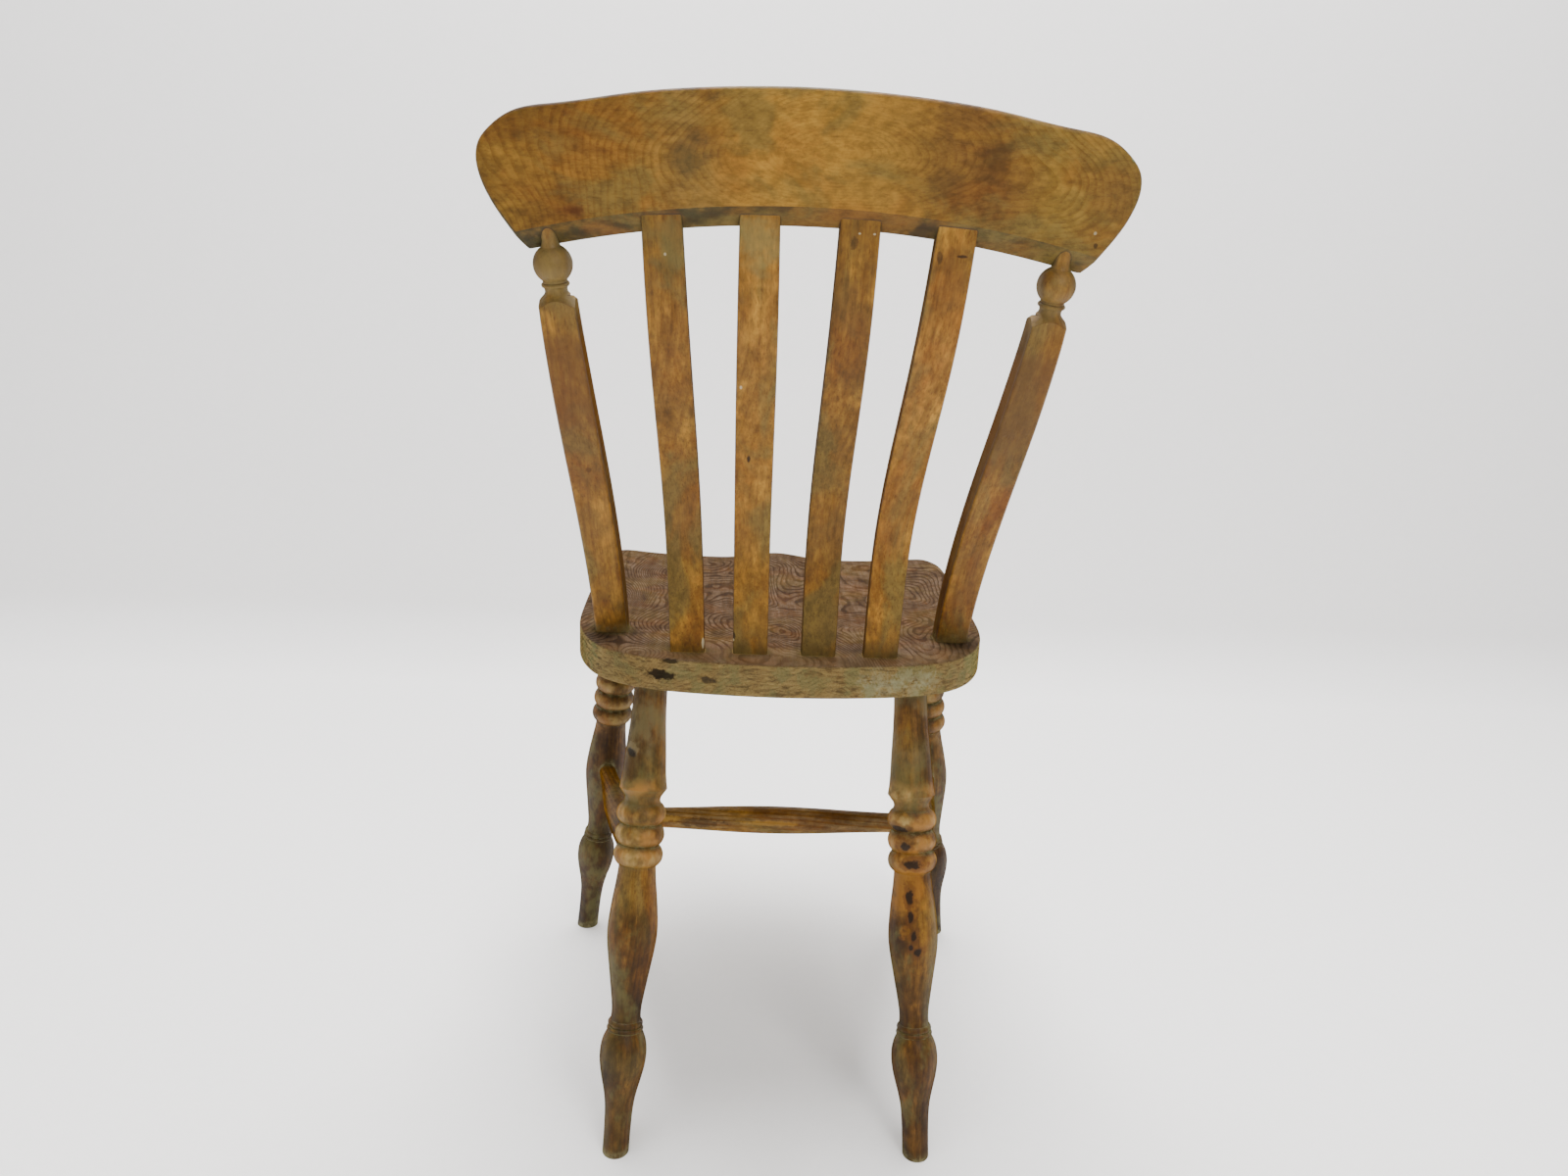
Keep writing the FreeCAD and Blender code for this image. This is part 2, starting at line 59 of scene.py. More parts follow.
class Shader:
    """A material, with short ways to wire its nodes."""

    def __init__(self, name):
        self.material = bpy.data.materials.new(name)
        self.material.use_nodes = True
        self.tree = self.material.node_tree
        self.tree.nodes.clear()
        output = self.tree.nodes.new("ShaderNodeOutputMaterial")
        self.surface = self.tree.nodes.new("ShaderNodeBsdfPrincipled")
        self.tree.links.new(self.surface.outputs["BSDF"], output.inputs["Surface"])
        self.place = self.node("TexCoord").outputs["Object"]

    def node(self, kind, **settings):
        made = self.tree.nodes.new("ShaderNode" + kind)
        for key, value in settings.items():
            setattr(made, key, value)
        return made

    def feed(self, socket, value):
        """Joins a socket to another node's output, or sets its number."""
        if isinstance(value, bpy.types.NodeSocket):
            self.tree.links.new(value, socket)
        else:
            socket.default_value = value

    def math(self, operation, a, b=0.0, c=0.0, clamp=False):
        made = self.node("Math", operation=operation, use_clamp=clamp)
        for socket, value in zip(made.inputs, (a, b, c)):
            self.feed(socket, value)
        return made.outputs[0]

    def plus(self, a, b, clamp=False):
        return self.math("ADD", a, b, clamp=clamp)

    def minus(self, a, b):
        return self.math("SUBTRACT", a, b)

    def times(self, a, b):
        return self.math("MULTIPLY", a, b)

    def swing(self, value, width):
        """Turns a noise between 0 and 1 into one as wide as width, on both sides of 0."""
        return self.math("MULTIPLY_ADD", value, width, -0.5 * width)

    def radius(self, x, y):
        return self.math("SQRT", self.plus(self.times(x, x), self.times(y, y)))

    def vector_math(self, operation, a, b=(0, 0, 0)):
        made = self.node("VectorMath", operation=operation)
        self.feed(made.inputs[0], a)
        self.feed(made.inputs[1], b)
        return made.outputs["Value"] if operation in ("LENGTH", "DOT_PRODUCT") else made.outputs[0]

    def axes(self, vector):
        """The X, Y and Z of a vector."""
        made = self.node("SeparateXYZ")
        self.feed(made.inputs[0], vector)
        return tuple(made.outputs)

    def normal(self):
        return self.node("NewGeometry").outputs["Normal"]

    def openness(self, distance, samples):
        """1 in the open, and less inside a recess."""
        made = self.node("AmbientOcclusion", samples=samples)
        made.inputs["Distance"].default_value = distance
        return made.outputs["AO"]

    def steps(self, value, low, high, to_low=0.0, to_high=1.0):
        """Maps low..high onto to_low..to_high, smoothly and clamped."""
        made = self.node("MapRange", interpolation_type="SMOOTHSTEP", clamp=True)
        for key, number in (("Value", value), ("From Min", low), ("From Max", high),
                            ("To Min", to_low), ("To Max", to_high)):
            self.feed(made.inputs[key], number)
        return made.outputs[0]

    def between(self, value, rise_start, rise_end, fall_start, fall_end):
        """1 from rise_end to fall_start, and 0 before rise_start and after fall_end."""
        rise = self.steps(value, rise_start, rise_end)
        return self.times(rise, self.steps(value, fall_start, fall_end, 1.0, 0.0))

    def noise(self, where, scale, detail=3.0, roughness=0.55, distortion=0.0):
        made = self.node("TexNoise")
        self.feed(made.inputs["Vector"], where)
        self.feed(made.inputs["Scale"], scale)
        self.feed(made.inputs["Detail"], detail)
        self.feed(made.inputs["Roughness"], roughness)
        self.feed(made.inputs["Distortion"], distortion)
        return made.outputs[0]

    def stretched(self, where, factors, offset=(0, 0, 0)):
        made = self.node("Mapping")
        self.feed(made.inputs["Vector"], where)
        self.feed(made.inputs["Scale"], factors)
        self.feed(made.inputs["Location"], offset)
        return made.outputs[0]

    def ramp(self, value, stops):
        made = self.node("ValToRGB")
        self.feed(made.inputs[0], value)
        bar = made.color_ramp
        while len(bar.elements) < len(stops):
            bar.elements.new(0.5)
        for element, (place, colour) in zip(bar.elements, stops):
            element.position = place
            element.color = (*colour, 1)
        return made.outputs[0]

    def mix(self, share, a, b, blend="MIX"):
        made = self.node("Mix", data_type="RGBA", blend_type=blend)
        self.feed(made.inputs[0], share)
        self.feed(made.inputs[6], a if isinstance(a, bpy.types.NodeSocket) else (*a, 1))
        self.feed(made.inputs[7], b if isinstance(b, bpy.types.NodeSocket) else (*b, 1))
        return made.outputs[2]

    def darkened(self, colour, share):
        """The colour times a share, which is a number or another node's output."""
        if isinstance(share, float):
            share = (share, share, share)
        return self.mix(1.0, colour, share, "MULTIPLY")


def grain_space(shader, origin, along):
    """Coordinates whose Z runs with the grain, measured from a point on the piece."""
    turn = Vector(along).normalized().rotation_difference(Vector((0, 0, 1)))
    made = shader.node("Mapping", vector_type="POINT")
    shader.feed(made.inputs["Vector"], shader.vector_math("SUBTRACT", shader.place, tuple(origin)))
    shader.feed(made.inputs["Rotation"], tuple(turn.to_euler("XYZ")))
    return made.outputs[0]


def height_share(shader, node):
    """How far up a node a point lies, from 0 at its foot to 1 at its top."""
    low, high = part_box(node)
    return shader.math("DIVIDE", shader.minus(shader.axes(shader.place)[2], low[2]), high[2] - low[2])


# ---------------------------------------------------------------- wood

# Colours of the aged, waxed timber.
BLACK = (0.008, 0.005, 0.003)
# The next colour darkens the recesses, partly as dirt and partly as painted shade; the crest also has one
# grime mark of it.
GRIME_AND_SHADE = (0.028, 0.020, 0.008)
DARK = (0.050, 0.021, 0.004)
BROWN = (0.120, 0.050, 0.005)
RED = (0.150, 0.046, 0.005)
HONEY = (0.205, 0.092, 0.013)
GOLD = (0.310, 0.150, 0.020)
OLIVE = (0.128, 0.092, 0.022)
GREEN = (0.075, 0.066, 0.020)
DUST = (0.190, 0.175, 0.080)
PALE = (0.300, 0.240, 0.120)
# The next colour is a dark edge colour for the arrises, partly dirt and partly painted shade.
EDGE_BROWN = (0.060, 0.024, 0.010)


@dataclass
class Look:
    """What one kind of timber looks like: its low, middle and high tones, and how strong each trait is."""
    tones: tuple
    rings: float = 0.2
    line_start: float = 0.45
    streaks: float = 0.35
    olive: float = 0.5
    red: float = 0.4
    gold: float = 0.4
    pores: float = 0.4
    fibre: float = 0.22
    mottle: float = 0.25
    # How strongly the recesses darken: partly dirt, partly painted shade.
    grime_and_shade: float = 0.75
    dust: float = 0.0
    # The edge colour and its strength: dark ones are partly dirt and partly painted shade, and the seat's pale
    # one is wear.
    arris: float = 0.5
    arris_colour: tuple = DARK
    patch_length: float = 0.35
    roughness: float = 0.38
    shine: float = 0.16


@dataclass
class Mark:
    """A stain, knot, scuff or speck: an ellipsoid of colour with a ragged edge."""
    place: tuple
    reach: tuple
    colour: tuple
    strength: float = 0.9
    ragged: float = 0.5
    sunk: float = 0.0
    fineness: float = 170
    core: float = 0.6


class Figure:
    """The patterns in one piece of wood, which its colour, gloss and relief share."""

    def __init__(self, shader, grain, ring_field, look, seed):
        self.drift = shader.stretched(grain, (1, 1, 1), (seed, seed * 0.7, seed * 1.3))
        self.blotches = shader.stretched(self.drift, (1, 1, look.patch_length))
        rings, line_strength = ring_field(shader, self.drift)
        lines = shader.times(shader.steps(shader.math("FRACT", rings), look.line_start, 0.96), line_strength)
        clear = shader.noise(shader.stretched(self.drift, (1, 1, 0.5), (2.2, 4.1, 1.9)), 26, 2, 0.5)
        self.lines = shader.times(lines, shader.steps(clear, 0.34, 0.58, 0.30, 1.0))
        self.band = shader.noise(self.blotches, 70, 3, 0.6)
        self.fibre = shader.noise(shader.stretched(self.drift, (1, 1, 0.03)), 640, 3, 0.62)
        self.streak = shader.noise(shader.stretched(self.drift, (1, 1, 0.07)), 190, 4, 0.6)
        fleck = shader.noise(shader.stretched(self.drift, (1, 1, 0.16)), 900, 1, 0.5)
        self.pores = shader.steps(fleck, 0.60, 0.70)


def stained(shader, figure, look, tint):
    """The ring figure in the look's tones, under patches of gold, red and olive, fibres and pores."""
    low, mid, high = look.tones
    body = shader.plus(shader.times(figure.lines, look.rings), shader.times(figure.streak, look.streaks))
    body = shader.plus(body, shader.times(figure.band, 1 - look.streaks))
    colour = shader.ramp(body, [(0.38, high), (0.50, mid), (0.68, low)])
    if tint is not None:
        colour = tint(shader, colour)
    gold = shader.noise(shader.stretched(figure.blotches, (1, 1, 1), (7.7, 2.9, 0.6)), 24, 4, 0.6, 0.4)
    colour = shader.mix(shader.steps(gold, 0.48, 0.60, 0.0, look.gold), colour, GOLD)
    red = shader.noise(shader.stretched(figure.blotches, (1, 1, 1), (3.1, 1.7, 5.3)), 27, 4, 0.62, 0.4)
    colour = shader.mix(shader.steps(red, 0.49, 0.62, 0.0, look.red), colour, RED)
    olive = shader.noise(figure.blotches, 21, 4, 0.6, 0.5)
    colour = shader.mix(shader.steps(olive, 0.47, 0.61, 0.0, look.olive), colour, OLIVE)
    colour = shader.mix(shader.steps(figure.fibre, 0.46, 0.62, 0.0, look.fibre), colour, DARK)
    colour = shader.mix(shader.times(figure.lines, look.rings * 0.5), colour, low)
    colour = shader.mix(shader.times(figure.pores, look.pores), colour, DARK)
    mottle = shader.noise(shader.stretched(figure.drift, (1, 1, 0.6)), 170, 5, 0.72)
    return shader.darkened(colour, shader.steps(mottle, 0.34, 0.66, 1 + look.mottle, 1 - look.mottle))


def soiled(shader, colour, look):
    """Dirt and painted shade in the recesses, and pale dust on their lips if the look is dusty. Also says
    where the recesses are darkened.
    """
    # Occlusion finds the recesses, which are darkened: partly dirt, partly painted shade.
    open_share = shader.openness(0.014, 8)
    hidden = shader.steps(open_share, 0.30, 0.93, 1.0, 0.0)
    smudge = shader.noise(shader.place, 75, 4, 0.6)
    grime_and_shade = shader.times(hidden, shader.steps(smudge, 0.28, 0.6, 0.55, 1.0))
    dirt = shader.mix(shader.steps(smudge, 0.46, 0.62), GREEN, GRIME_AND_SHADE)
    colour = shader.mix(shader.times(grime_and_shade, look.grime_and_shade), colour, dirt)
    if look.dust:
        lip = shader.between(open_share, 0.42, 0.62, 0.66, 0.86)
        lip = shader.times(lip, shader.steps(shader.noise(shader.place, 140, 3, 0.6), 0.40, 0.60, 0.2, 1.0))
        colour = shader.mix(shader.times(lip, look.dust), colour, DUST)
    return colour, grime_and_shade


def edge_wear_and_shade(shader, colour, figure, look):
    """The arrises take the look's edge colour: pale wear on the seat, and on the other pieces a dark edge that
    is partly dirt and partly painted shade.
    """
    edge = shader.node("Bevel", samples=6)
    edge.inputs["Radius"].default_value = 0.0020
    turn = shader.vector_math("DOT_PRODUCT", edge.outputs[0], shader.normal())
    # Edge mask: dark edge colours here are partly dirt and partly painted shade.
    arris = shader.steps(turn, 0.80, 0.985, 1.0, 0.0)
    arris = shader.times(arris, shader.steps(figure.band, 0.32, 0.56, 0.35, 1.0))
    return shader.mix(shader.times(arris, look.arris), colour, look.arris_colour)


def mark_share(shader, mark):
    """Where a mark shows, from 0 to 1."""
    offset = shader.vector_math("SUBTRACT", shader.place, mark.place)
    far = shader.vector_math("LENGTH", shader.vector_math("DIVIDE", offset, mark.reach))
    wander = shader.noise(shader.place, mark.fineness, 3, 0.65)
    far = shader.plus(far, shader.swing(wander, 2 * mark.ragged))
    return shader.steps(far, mark.core, 1.05, mark.strength, 0.0)


def marked(shader, colour, marks):
    """The colour with its marks on it, and how deep they are sunk."""
    sunk = 0.0
    for mark in marks:
        shown = mark_share(shader, mark)
        colour = shader.mix(shown, colour, mark.colour)
        if mark.sunk:
            sunk = shader.plus(sunk, shader.times(shown, mark.sunk))
    return colour, sunk


def set_gloss(shader, figure, grime_and_shade, look):
    """Old wax, duller in the darkened recesses and over pores, whose shine fades where the surface turns away.
    """
    rough = shader.steps(figure.streak, 0.3, 0.7, look.roughness, look.roughness + 0.14)
    rough = shader.plus(rough, shader.times(grime_and_shade, 0.25))
    rough = shader.plus(rough, shader.times(figure.pores, 0.10), clamp=True)
    shader.feed(shader.surface.inputs["Roughness"], rough)
    facing = shader.node("LayerWeight").outputs["Facing"]
    shine = shader.steps(facing, 0.32, 0.80, look.shine, 0.0)
    shader.feed(shader.surface.inputs["Specular IOR Level"], shine)


def set_relief(shader, figure, sunk, look):
    """Raised fibres and streaks, with pores, ring lines, dents and sunk marks below them."""
    height = shader.plus(shader.times(figure.fibre, 0.30), shader.times(figure.streak, 0.35))
    height = shader.minus(height, shader.times(figure.pores, 0.30))
    height = shader.minus(height, shader.times(figure.lines, look.rings * 0.5))
    dents = shader.steps(shader.noise(shader.place, 95, 2, 0.5), 0.66, 0.78)
    height = shader.minus(height, shader.times(dents, 0.8))
    height = shader.minus(height, sunk)
    bump = shader.node("Bump")
    bump.inputs["Strength"].default_value = 0.5
    bump.inputs["Distance"].default_value = 0.0005
    shader.feed(bump.inputs["Height"], height)
    shader.feed(shader.surface.inputs["Normal"], bump.outputs[0])


def old_wood(name, origin, along, ring_field, look, seed, marks=(), tint=None, wash=None):
    """Waxed old wood. A tint changes the bare wood, and a wash changes the stained wood."""
    shader = Shader(name)
    figure = Figure(shader, grain_space(shader, origin, along), ring_field, look, seed)
    colour = stained(shader, figure, look, tint)
    # A wash can hold painted shade: on the side faces of the laths and posts, and on the crest's lower bevel
    # and top.
    if wash is not None:
        colour = wash(shader, colour)
    colour, grime_and_shade = soiled(shader, colour, look)
    colour = edge_wear_and_shade(shader, colour, figure, look)
    colour, sunk = marked(shader, colour, marks)
    shader.feed(shader.surface.inputs["Base Color"], colour)
    set_gloss(shader, figure, grime_and_shade, look)
    set_relief(shader, figure, sunk, look)
    return shader.material


# ---------------------------------------------------------------- ring figures

def flat_sawn(spacing, pith_x, pith_y, wander=0.010):
    """Rings round a pith that runs with the grain, outside the piece."""
    def field(shader, grain):
        bend = shader.noise(shader.stretched(grain, (1, 1, 0.22)), 16, 2, 0.5)
        x, y, _ = shader.axes(grain)
        radius = shader.radius(shader.minus(x, pith_x), shader.minus(y, pith_y))
        radius = shader.plus(radius, shader.swing(bend, wander))
        return shader.math("DIVIDE", radius, spacing), 1.0
    return field


def crest_figure(centre, spacing):
    """Long oval rings round one point, opening into arcs towards both ends."""
    def field(shader, grain):
        x, _, z = shader.axes(shader.place)
        x = shader.minus(x, centre.x)
        z = shader.minus(z, centre.z)
        far = shader.math("ABSOLUTE", x)
        warp = shader.noise(shader.stretched(shader.place, (0.7, 1, 1.3)), 7, 1, 0.5)
        ripple = shader.noise(shader.stretched(shader.place, (1, 1, 1.5)), 45, 1, 0.5)
        squash = shader.steps(far, 0.05, 0.20, 2.6, 1.9)
        radius = shader.radius(x, shader.times(z, squash))
        radius = shader.plus(radius, shader.swing(warp, 0.20))
        radius = shader.plus(radius, shader.times(ripple, 0.006))
        return shader.math("DIVIDE", radius, spacing), shader.steps(far, 0.03, 0.17, 0.35, 1.0)
    return field


def seat_figure(spacing):
    """Wild elm figure: long contours that wander from front to back round nested ovals."""
    def field(shader, grain):
        x, _, z = shader.axes(shader.place)
        flat = shader.stretched(shader.place, (1.0, 0.6, 0.0))
        wild = shader.noise(flat, 9, 1, 0.5, 0.3)
        fine = shader.noise(flat, 60, 1, 0.5)
        height = shader.plus(shader.times(wild, 0.24), shader.times(fine, 0.006))
        lean = shader.plus(shader.times(shader.math("ABSOLUTE", x), 0.50), shader.times(z, 1.2))
        return shader.math("DIVIDE", shader.plus(height, lean), spacing), 1.0
    return field


# ---------------------------------------------------------------- pieces

def surface_points(node):
    vertices = nodes[node].data.vertices
    points = np.empty(len(vertices) * 3)
    vertices.foreach_get("co", points)
    return points.reshape(-1, 3)


def slice_centre(node, low_share, high_share):
    """Middle of the part of a node that lies between two shares of its height."""
    points = surface_points(node)
    low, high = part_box(node)
    share = (points[:, 2] - low[2]) / (high[2] - low[2])
    chosen = points[(share >= low_share) & (share <= high_share)]
    return Vector(0.5 * (chosen.min(axis=0) + chosen.max(axis=0)))


def give(node, material, edge):
    """Puts the material on a CAD node and rounds its edges."""
    piece = nodes[node]
    piece.data.materials.clear()
    piece.data.materials.append(material)
    soften(piece, edge)


def upright_wood(node, seed, look, spacing, pith, marks=(), wash=None):
    """Wood whose grain runs from the foot of a node to its head."""
    foot = slice_centre(node, 0.0, 0.06)
    head = slice_centre(node, 0.9, 1.0)
    return old_wood("wood_" + node, foot, head - foot, flat_sawn(spacing, *pith), look, seed, marks, wash=wash)


def rear_of(node, across, up, reach, colour, **settings):
    """A mark on the face of a node that looks backwards, at shares of its width and height."""
    points = surface_points(node)
    low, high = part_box(node)
    x = low[0] + across * (high[0] - low[0])
    z = low[2] + up * (high[2] - low[2])
    nearest = points[np.argsort((points[:, 0] - x) ** 2 + (points[:, 2] - z) ** 2)[:60]]
    return Mark((x, float(nearest[:, 1].max()), z), reach, colour, **settings)


def leg_wash(node, depth):
    """Darker towards the floor and in long patches, and rubbed golden where the three rings stand out."""
    mould_colour = (0.098, 0.086, 0.026)
    dusty_colour = (0.165 * depth, 0.128 * depth, 0.055 * depth)

    def wash(shader, colour):
        up = height_share(shader, node)
        stain = shader.noise(shader.stretched(shader.place, (1, 1, 0.45), (0, 0, depth)), 26, 4, 0.65)
        shade = shader.steps(up, 0.0, 0.62, 0.55 * depth, depth)
        shade = shader.times(shade, shader.steps(stain, 0.40, 0.62, 1.10, 0.60))
        colour = shader.darkened(colour, shade)
        mould = shader.noise(shader.stretched(shader.place, (1, 1, 0.6), (0, 3, depth)), 34, 4, 0.65)
        colour = shader.mix(shader.steps(mould, 0.50, 0.64, 0.0, 0.55), colour, mould_colour)
        neck = shader.steps(up, 0.76, 0.84)
        dusty = shader.times(neck, shader.steps(mould, 0.40, 0.56, 0.05, 0.50))
        colour = shader.mix(dusty, colour, dusty_colour)
        rings = shader.between(up, 0.57, 0.61, 0.735, 0.765)
        bare = shader.times(shader.steps(shader.openness(0.02, 6), 0.80, 0.97), rings)
        patchy = shader.steps(shader.noise(shader.place, 55, 3, 0.6), 0.38, 0.60, 0.10, 0.95 * depth)
        bare_wood = shader.ramp(stain, [(0.44, (0.390, 0.262, 0.088)), (0.54, (0.300, 0.140, 0.030))])
        return shader.mix(shader.times(bare, patchy), colour, bare_wood)
    return wash


def right_leg_marks():
    """A reddish stain and, over it, a trail of black knots with brown rims."""
    mark = partial(rear_of, "leg_rear_right")
    # Across, up, half width and half height.
    knots = [(0.83, 0.667, 0.0075, 0.0042), (0.73, 0.637, 0.0050, 0.0045), (0.62, 0.603, 0.0095, 0.0042),
             (0.62, 0.535, 0.0036, 0.0080), (0.60, 0.500, 0.0028, 0.0060), (0.54, 0.465, 0.0026, 0.0050),
             (0.46, 0.432, 0.0040, 0.0045), (0.58, 0.440, 0.0020, 0.0030)]
    marks = [mark(0.63, 0.560, (0.016, 0.04, 0.045), (0.290, 0.115, 0.012), strength=0.6, ragged=0.9,
                  fineness=60)]
    for across, up, wide, tall in knots:
        rim = (1.9 * wide, 0.03, 1.8 * tall)
        marks.append(mark(across, up, rim, (0.085, 0.030, 0.006), strength=0.6, ragged=0.9))
        marks.append(mark(across, up, (wide, 0.03, tall), BLACK, ragged=0.7, fineness=240, sunk=0.8))
    return marks


def left_leg_marks():
    """One knot hole near the top, with a pale rim and a dark trail below it."""
    mark = partial(rear_of, "leg_rear_left")
    return [
        mark(0.585, 0.812, (0.0065, 0.03, 0.0060), PALE, strength=0.25, ragged=0.8),
        mark(0.60, 0.803, (0.0045, 0.03, 0.0045), BLACK, sunk=2.0, ragged=0.6),
        mark(0.62, 0.775, (0.0060, 0.03, 0.0120), DARK, strength=0.5),
    ]


def dress_legs():
    look = Look((DARK, BROWN, HONEY), rings=0.10, olive=0.60, red=0.45, gold=0.35, grime_and_shade=0.62, dust=0.90,
                arris=0.2)
    marks = {"leg_rear_right": right_leg_marks(), "leg_rear_left": left_leg_marks()}
    for end, depth in (("front", 0.56), ("rear", 0.88)):
        for side in SIDES:
            node = f"leg_{end}_{side}"
            seed = 5 * depth + (1.9 if side == "left" else 4.4)
            material = upright_wood(node, seed, look, 0.0045, (0.03, 0.01), marks.get(node, ()),
                                    leg_wash(node, depth))
            give(node, material, 0.0006)


def shaded_wash(shader, colour):
    """The side stretchers are darker than the rest."""
    return shader.darkened(colour, 0.62)


def dress_side_stretchers():
    look = Look((DARK, BROWN, HONEY), rings=0.18, olive=0.7, red=0.35, gold=0.3, dust=0.4, arris=0.3)
    for number, side in enumerate(SIDES):
        node = "side_stretcher_" + side
        low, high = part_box(node)
        sign = 1 if side == "left" else -1
        along = Vector((sign * (low[0] - high[0]), high[1] - low[1], high[2] - low[2]))
        material = old_wood("wood_" + node, low, along, flat_sawn(0.004, 0.03, 0.01), look, 7.3 + number,
                            wash=shaded_wash)
        give(node, material, 0.0005)


def dress_cross_stretcher():
    tones = (BROWN, (0.150, 0.092, 0.034), (0.260, 0.160, 0.055))
    look = Look(tones, rings=0.25, olive=0.7, red=0.25, gold=0.45, dust=0.4, arris=0.3)
    mark = partial(rear_of, "cross_stretcher")
    flames = [
        mark(0.86, 0.62, (0.020, 0.03, 0.0035), (0.370, 0.210, 0.035), strength=0.6, ragged=1.0),
        mark(0.74, 0.52, (0.026, 0.03, 0.0050), BLACK, strength=0.5, ragged=1.2),
        mark(0.50, 0.60, (0.030, 0.03, 0.0030), (0.330, 0.170, 0.022), strength=0.5, ragged=1.0),
    ]
    low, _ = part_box("cross_stretcher")
    material = old_wood("wood_cross_stretcher", low, (1, 0, 0.05), flat_sawn(0.0045, 0.02, 0.02), look, 9.1,
                        flames)
    give("cross_stretcher", material, 0.0005)


def back_wash(node, depth, head=0.0):
    """Painted shade on the side faces, which are darker than the flat of the back, dirt by the seat, and a
    dusty head on a post.
    """
    smear_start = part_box(node)[0][0]

    def wash(shader, colour):
        # Painted shade: faces that look along X, the side faces, are darkened.
        painted_side_shade = shader.steps(shader.math("ABSOLUTE", shader.axes(shader.normal())[0]), 0.60, 0.90)
        colour = shader.darkened(colour, depth)
        colour = shader.mix(shader.times(painted_side_shade, 0.80), colour, (0.042, 0.021, 0.011))
        up = height_share(shader, node)
        foot = shader.steps(up, 0.04, 0.16, 1.0, 0.0)
        smear = shader.noise(shader.stretched(shader.place, (1, 1, 0.6), (0, 0, smear_start)), 30, 4, 0.65)
        dull = shader.times(shader.steps(smear, 0.42, 0.60), shader.math("MULTIPLY_ADD", foot, 0.35, 0.30))
        colour = shader.mix(dull, colour, (0.085, 0.052, 0.014))
        if head:
            below = shader.between(up, 0.48, 0.62, 0.76, 0.80)
            colour = shader.mix(shader.times(below, 0.62), colour, (0.085, 0.036, 0.008))
            dusty = shader.times(shader.steps(up, 0.80, 0.86), shader.steps(smear, 0.40, 0.56, 0.15, head))
            colour = shader.mix(dusty, colour, (0.200, 0.142, 0.052))
        return colour
    return wash


def lath_marks():
    """Smears at the tops of the laths, and the pale specks and black nicks on them."""
    speck = (0.40, 0.34, 0.21)
    outer_left, inner_left, inner_right, outer_right = (
        partial(rear_of, node)
        for node in ("lath_outer_left", "lath_inner_left", "lath_inner_right", "lath_outer_right"))
    return {
        "lath_outer_left": [
            outer_left(0.05, 0.070, (0.0013, 0.02, 0.0045), speck, strength=0.8, ragged=0.5),
            outer_left(0.55, 0.94, (0.022, 0.03, 0.036), (0.13, 0.11, 0.035), strength=0.45, ragged=1.1,
                       fineness=60, core=0.2),
            outer_left(0.66, 0.915, (0.0012, 0.02, 0.0014), speck, strength=0.7, ragged=0.4),
        ],
        "lath_inner_left": [
            inner_left(0.60, 0.94, (0.026, 0.03, 0.026), (0.19, 0.16, 0.055), strength=0.50, ragged=1.1,
                       fineness=60, core=0.2),
            inner_left(0.63, 0.497, (0.0018, 0.02, 0.0036), BLACK),
            inner_left(0.86, 0.656, (0.0012, 0.02, 0.0016), speck, ragged=0.2),
            inner_left(0.87, 0.088, (0.0030, 0.02, 0.0045), BLACK, strength=0.8),
            inner_left(0.87, 0.078, (0.0020, 0.02, 0.0018), speck, ragged=0.3),
        ],
        "lath_inner_right": [
            inner_right(0.42, 0.957, (0.0012, 0.02, 0.0009), speck, strength=0.8, ragged=0.3),
            inner_right(0.12, 0.957, (0.0012, 0.02, 0.0009), speck, strength=0.8, ragged=0.3),
            inner_right(0.50, 0.938, (0.0030, 0.02, 0.0050), BLACK, strength=0.5, ragged=1.2),
        ],
        "lath_outer_right": [
            outer_right(0.187, 0.934, (0.0045, 0.02, 0.0013), BLACK, strength=0.8),
            outer_right(0.50, 0.932, (0.0020, 0.02, 0.0050), BLACK, strength=0.5, ragged=0.8),
        ],
    }


def dress_laths():
    look = Look((BROWN, HONEY, GOLD), rings=0.08, streaks=0.30, olive=0.75, red=0.45, gold=0.35, arris=0.75,
                arris_colour=EDGE_BROWN)
    depths = {"outer_left": 0.88, "inner_left": 1.10, "inner_right": 0.82, "outer_right": 1.12}
    marks = lath_marks()
    for number, place in enumerate(("outer", "inner")):
        for side in SIDES:
            node = f"lath_{place}_{side}"
            seed = 2.3 * number + (0.7 if side == "left" else 5.9)
            wash = back_wash(node, depths[f"{place}_{side}"])
            give(node, upright_wood(node, seed, look, 0.005, (0.06, -0.05), marks[node], wash), 0.0006)


def dress_posts():
    look = Look((BROWN, HONEY, GOLD), rings=0.10, streaks=0.30, olive=0.7, red=0.65, gold=0.4, dust=0.35,
                arris=0.75, arris_colour=EDGE_BROWN)
    marks = {"left": [rear_of("back_post_left", 0.46, 0.480, (0.0028, 0.03, 0.0028), DARK, strength=0.7)],
             "right": []}
    for number, side in enumerate(SIDES):
        node = "back_post_" + side
        material = upright_wood(node, 11.2 + 3 * number, look, 0.005, (0.05, -0.04), marks[side],
                                back_wash(node, 0.92, 0.38))
        give(node, material, 0.0008)


